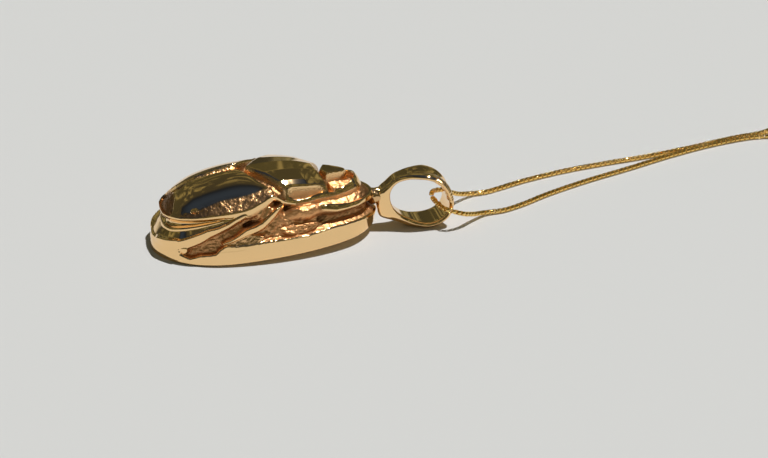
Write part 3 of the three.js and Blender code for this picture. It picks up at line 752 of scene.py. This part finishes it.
def even_route(points, step):
    """Places, evenly spaced, on a smooth curve through the points."""
    p = np.array(points, float)
    gaps = np.maximum(np.linalg.norm(np.diff(p, axis=0), axis=1), 1e-6)
    knots = np.concatenate([[0], np.cumsum(np.sqrt(gaps))])
    slopes = np.gradient(p, knots, axis=0)
    fine = []
    for i in range(len(p) - 1):
        span = knots[i + 1] - knots[i]
        t = np.linspace(0, 1, 24, endpoint=False)[:, None]
        a, b = p[i], p[i + 1]
        fine.append(a * (1 + 2 * t) * (1 - t) ** 2 + b * t * t * (3 - 2 * t)
                    + span * (slopes[i] * t * (1 - t) ** 2 - slopes[i + 1] * t * t * (1 - t)))
    fine = np.concatenate(fine + [p[-1:]])
    run = np.concatenate([[0], np.cumsum(np.linalg.norm(np.diff(fine, axis=0), axis=1))])
    count = max(2, int(round(run[-1] / step)) + 1)
    at = np.linspace(0, run[-1], count)
    return np.stack([np.interp(at, run, fine[:, k]) for k in range(3)], axis=-1), run[-1]


def link_shape():
    """One folded square link: rings of points along, across and through the chain."""
    edge = LINK_STRIP / 2
    rings = [(LINK_HALF - LINK_BEVEL, -edge), (LINK_HALF, -edge + LINK_BEVEL),
             (LINK_HALF, edge - LINK_BEVEL), (LINK_HALF - LINK_BEVEL, edge),
             (LINK_HALF - LINK_WALL, edge), (LINK_HALF - LINK_WALL, -edge)]
    turn = np.linspace(0, 2 * math.pi, LINK_CORNERS, endpoint=False) + math.pi / LINK_CORNERS
    square = 1 / np.maximum(np.abs(np.cos(turn)), np.abs(np.sin(turn))) ** LINK_SQUARE
    link = []
    for reach, strip in rings:
        for k in range(LINK_CORNERS):
            along = reach * square[k] * math.cos(turn[k])
            across = reach * square[k] * math.sin(turn[k]) * CHAIN_WIDTH / (2 * LINK_HALF)
            link.append((along, across, strip))
    return np.array(link), len(rings)


def box_chain(name, points, material, seed):
    """Square links along a route, each turned a quarter against the one before."""
    route, length = even_route(points, LINK_PITCH)
    link, n = link_shape()
    tangents = np.gradient(route, axis=0)
    tangents /= np.linalg.norm(tangents, axis=1)[:, None]
    up = np.array([0.0, 0.0, 1.0])
    random = np.random.default_rng(seed)
    rolls = np.cumsum(random.normal(0, TWIST_DRIFT, len(route)))
    rolls -= rolls.mean()
    rolls = np.clip(rolls, -TWIST_LIMIT, TWIST_LIMIT) + random.normal(0, TWIST_SPREAD, len(route))
    points_out = []
    faces = []
    for i, (centre, forward) in enumerate(zip(route, tangents)):
        side = np.cross(up, forward)
        side /= np.linalg.norm(side)
        over = np.cross(forward, side)
        roll = rolls[i] + (math.pi / 2 if i % 2 else 0)
        across = side * math.cos(roll) + over * math.sin(roll)
        through = np.cross(forward, across)
        placed = centre + link[:, :1] * forward + link[:, 1:2] * across + link[:, 2:] * through
        base = len(points_out)
        points_out.extend(placed)
        for j in range(n):
            for k in range(LINK_CORNERS):
                m = (k + 1) % LINK_CORNERS
                a, b = base + j * LINK_CORNERS, base + (j + 1) % n * LINK_CORNERS
                faces.append((a + k, b + k, b + m, a + m))
    points_out = np.array(points_out)
    points_out[:, 0] += PENDANT_X
    points_out[:, 2] = np.maximum(points_out[:, 2], LOWEST_LINK)
    item = mesh_object(name, points_out * MM, faces)
    item.data.materials.append(material)
    path = np.array(points, float)
    path[:, 0] += PENDANT_X
    return item, path * MM, length * MM


def mixed_colour(nodes, second):
    """A node that mixes towards a colour; its factor and first colour are left to link."""
    node = nodes.new("ShaderNodeMix")
    node.data_type = "RGBA"
    node.inputs["B"].default_value = (*second, 1)
    return node


def product(nodes):
    node = nodes.new("ShaderNodeMath")
    node.operation = "MULTIPLY"
    return node


def smooth_range(nodes, low, high, top=1.0):
    node = nodes.new("ShaderNodeMapRange")
    node.interpolation_type = "SMOOTHSTEP"
    node.inputs["From Min"].default_value = low
    node.inputs["From Max"].default_value = high
    node.inputs["To Max"].default_value = top
    return node


def gold(name, colour, rough, matte_colour, matte_rough):
    """Polished gold, with matte granulated gold where the matte attribute says so, and brown mixed in where
    the brown attribute says so: painted shade, and the brown of worn patches and solder.
    """
    material = bpy.data.materials.new(name)
    material.use_nodes = True
    nodes, links = material.node_tree.nodes, material.node_tree.links
    shader = nodes["Principled BSDF"]
    shader.inputs["Metallic"].default_value = 1.0
    matte = nodes.new("ShaderNodeAttribute")
    matte.attribute_name = "matte"
    tint = mixed_colour(nodes, matte_colour)
    tint.inputs["A"].default_value = (*colour, 1)
    links.new(matte.outputs["Fac"], tint.inputs["Factor"])
    # The brown attribute mixes in painted shade in hollows and seams, and the brown of worn patches and
    # solder.
    brown = nodes.new("ShaderNodeAttribute")
    brown.attribute_name = "brown"
    darken = mixed_colour(nodes, SHADE_AND_WEAR_BROWN)
    links.new(brown.outputs["Fac"], darken.inputs["Factor"])
    links.new(tint.outputs["Result"], darken.inputs["A"])
    links.new(darken.outputs["Result"], shader.inputs["Base Color"])
    roughness = nodes.new("ShaderNodeMapRange")
    roughness.inputs["To Min"].default_value = rough
    roughness.inputs["To Max"].default_value = matte_rough
    links.new(matte.outputs["Fac"], roughness.inputs["Value"])
    links.new(roughness.outputs["Result"], shader.inputs["Roughness"])
    coordinates = nodes.new("ShaderNodeTexCoord")
    fine = nodes.new("ShaderNodeTexNoise")
    fine.inputs["Scale"].default_value = GRAIN_SCALE
    fine.inputs["Detail"].default_value = 4
    links.new(coordinates.outputs["Object"], fine.inputs["Vector"])
    height = product(nodes)
    links.new(fine.outputs["Fac"], height.inputs[0])
    links.new(matte.outputs["Fac"], height.inputs[1])
    bump = nodes.new("ShaderNodeBump")
    bump.inputs["Strength"].default_value = 0.6
    bump.inputs["Distance"].default_value = 0.0001
    links.new(height.outputs["Value"], bump.inputs["Height"])
    links.new(bump.outputs["Normal"], shader.inputs["Normal"])
    return material


def place_camera():
    """Aims the camera so that a known point on the table falls on its pixel."""
    back = Vector((math.sin(AZIMUTH) * math.cos(ELEVATION), -math.cos(AZIMUTH) * math.cos(ELEVATION),
                   math.sin(ELEVATION)))
    right = Vector((math.cos(AZIMUTH), math.sin(AZIMUTH), 0))
    up = back.cross(right)
    point = Vector((PENDANT_X + AIM_ALONG, 0, 0))
    off_x = (AIM_PIXEL[0] - PHOTO_WIDTH / 2) * VIEW_DISTANCE / FOCAL_PIXELS
    off_y = (AIM_PIXEL[1] - PHOTO_HEIGHT / 2) * VIEW_DISTANCE / FOCAL_PIXELS
    eye = (point + VIEW_DISTANCE * back - right * off_x + up * off_y) * MM
    camera = bpy.data.objects.new("camera", bpy.data.cameras.new("camera"))
    camera.data.sensor_width = SENSOR_WIDTH
    camera.data.lens = FOCAL_PIXELS * SENSOR_WIDTH / PHOTO_WIDTH
    camera.data.clip_start = 0.01
    camera.data.clip_end = 20
    turn = Matrix((right, up, back)).transposed()
    camera.matrix_world = Matrix.Translation(eye) @ turn.to_4x4()
    bpy.context.collection.objects.link(camera)
    bpy.context.scene.camera = camera


def room_light(nodes, links):
    """The colour that the gold mirrors from each direction, banded along the pendant."""
    coordinates = nodes.new("ShaderNodeTexCoord")
    split = nodes.new("ShaderNodeSeparateXYZ")
    links.new(coordinates.outputs["Generated"], split.inputs["Vector"])
    across = nodes.new("ShaderNodeCombineXYZ")
    links.new(split.outputs["Y"], across.inputs["Y"])
    links.new(split.outputs["Z"], across.inputs["Z"])
    turned = nodes.new("ShaderNodeVectorMath")
    turned.operation = "NORMALIZE"
    links.new(across.outputs["Vector"], turned.inputs[0])
    overhead = nodes.new("ShaderNodeSeparateXYZ")
    links.new(turned.outputs["Vector"], overhead.inputs["Vector"])
    room = nodes.new("ShaderNodeValToRGB")
    marks = room.color_ramp.elements
    marks[0].color = (*ROOM_STOPS[0][1], 1)
    marks[1].color = (*ROOM_STOPS[-1][1], 1)
    for place, colour in ROOM_STOPS[1:-1]:
        marks.new(place).color = (*colour, 1)
    links.new(overhead.outputs["Z"], room.inputs["Fac"])

    stretch = nodes.new("ShaderNodeMapping")
    stretch.inputs["Scale"].default_value = (1.5, 4.0, 5.0)
    links.new(coordinates.outputs["Generated"], stretch.inputs["Vector"])
    patches = nodes.new("ShaderNodeTexNoise")
    patches.inputs["Scale"].default_value = 2.2
    patches.inputs["Detail"].default_value = 4
    patches.inputs["Distortion"].default_value = 1.2
    links.new(stretch.outputs["Vector"], patches.inputs["Vector"])
    leaves = smooth_range(nodes, 0.52, 0.60, 0.85)
    links.new(patches.outputs["Fac"], leaves.inputs["Value"])
    below_zenith = smooth_range(nodes, 0.96, 0.90)
    links.new(overhead.outputs["Z"], below_zenith.inputs["Value"])
    share = product(nodes)
    links.new(leaves.outputs["Result"], share.inputs[0])
    links.new(below_zenith.outputs["Result"], share.inputs[1])
    leafy = mixed_colour(nodes, LEAF_LIGHT)
    links.new(share.outputs["Value"], leafy.inputs["Factor"])
    links.new(room.outputs["Color"], leafy.inputs["A"])

    low = smooth_range(nodes, 0.04, 0.015)
    links.new(split.outputs["Z"], low.inputs["Value"])
    horizon = mixed_colour(nodes, HORIZON_LIGHT)
    links.new(low.outputs["Result"], horizon.inputs["Factor"])
    links.new(leafy.outputs["Result"], horizon.inputs["A"])
    return horizon.outputs["Result"]


def place_lights():
    """The room that lights and is mirrored by the gold, a plain backdrop to look at, and the sun."""
    world = bpy.data.worlds.new("world")
    bpy.context.scene.world = world
    world.use_nodes = True
    nodes, links = world.node_tree.nodes, world.node_tree.links
    surroundings = nodes["Background"]
    links.new(room_light(nodes, links), surroundings.inputs["Color"])
    backdrop = nodes.new("ShaderNodeBackground")
    backdrop.inputs["Color"].default_value = (*BACKDROP, 1)
    seen = nodes.new("ShaderNodeLightPath")
    choose = nodes.new("ShaderNodeMixShader")
    links.new(seen.outputs["Is Camera Ray"], choose.inputs["Fac"])
    links.new(surroundings.outputs["Background"], choose.inputs[1])
    links.new(backdrop.outputs["Background"], choose.inputs[2])
    links.new(choose.outputs["Shader"], nodes["World Output"].inputs["Surface"])
    sun = bpy.data.objects.new("sun", bpy.data.lights.new("sun", "SUN"))
    sun.data.energy = SUN_STRENGTH
    sun.data.angle = SUN_WIDTH
    sun.rotation_euler = SUN_TURN
    bpy.context.scene.view_settings.view_transform = "Standard"
    bpy.context.collection.objects.link(sun)


def table():
    mesh = bpy.data.meshes.new("floor")
    corners = [(x * TABLE_REACH, y * TABLE_REACH, 0) for x, y in ((-1, -1), (1, -1), (1, 1), (-1, 1))]
    mesh.from_pydata(corners, [], [(0, 1, 2, 3)])
    item = bpy.data.objects.new("floor", mesh)
    bpy.context.collection.objects.link(item)
    material = bpy.data.materials.new("floor_paper")
    material.use_nodes = True
    shader = material.node_tree.nodes["Principled BSDF"]
    shader.inputs["Base Color"].default_value = (*TABLE_PAPER, 1)
    shader.inputs["Roughness"].default_value = TABLE_ROUGH
    mesh.materials.append(material)


place_camera()
place_lights()
table()

chain_gold = gold("chain_gold", LINK_GOLD, LINK_ROUGH, LINK_MATTE, LINK_MATTE_ROUGH)
near_chain, near_path, near_length = box_chain("chain_near", NEAR_ROUTE + coil_route(), chain_gold, 3)
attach(near_chain, "root")
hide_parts("chain_near_strand", "chain_coil")
far_chain, far_path, far_length = box_chain("chain_far", FAR_ROUTE, chain_gold, 4)
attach(far_chain, "root")
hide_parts("chain_far_strand")
clasp_piece = clasp()
clasp_piece.data.materials.append(chain_gold)
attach(clasp_piece, "root")
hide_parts("clasp_ring")

cast_gold = gold("cast_gold", POLISHED_GOLD, POLISHED_ROUGH, MATTE_GOLD, MATTE_ROUGH)
body_piece = scarab()
body_piece.data.materials.append(cast_gold)
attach(body_piece, "root")
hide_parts("scarab_body")

bail_piece = bail()
bail_piece.data.materials.append(cast_gold)
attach(bail_piece, "root")
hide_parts("bail")

solder_piece = solder()
solder_piece.data.materials.append(cast_gold)
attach(solder_piece, "root")
